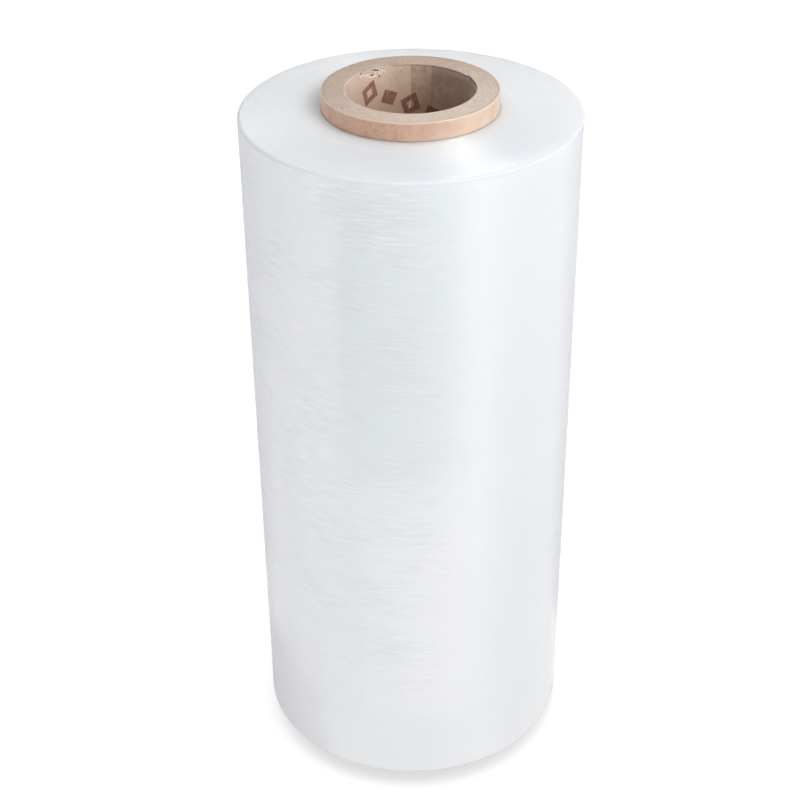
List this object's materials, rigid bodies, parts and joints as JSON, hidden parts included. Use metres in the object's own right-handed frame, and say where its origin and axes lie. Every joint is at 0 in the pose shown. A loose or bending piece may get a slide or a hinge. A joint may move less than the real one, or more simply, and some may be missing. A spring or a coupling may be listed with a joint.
{
  "type": "stretch wrap roll",
  "caption": "Roll of clear stretch film wound on a thick paperboard core that stands out at both ends, for wrapping pallets and packs.",
  "frame": {"origin": "centre of the core's lower end, on the surface that the roll stands on", "axes": "+Z along the roll's axis, -Y towards the front of the picture"},
  "size_m": [0.2028, 0.2026, 0.4608],
  "materials": {
    "core_board": "dry wound paperboard, fibrous on the cut ends",
    "film": "satin, milky stack of clear film turns with fine streaks round the roll"
  },
  "bodies": {
    "root": {"core": "core_board", "film": "film"}
  },
  "joints": []
}
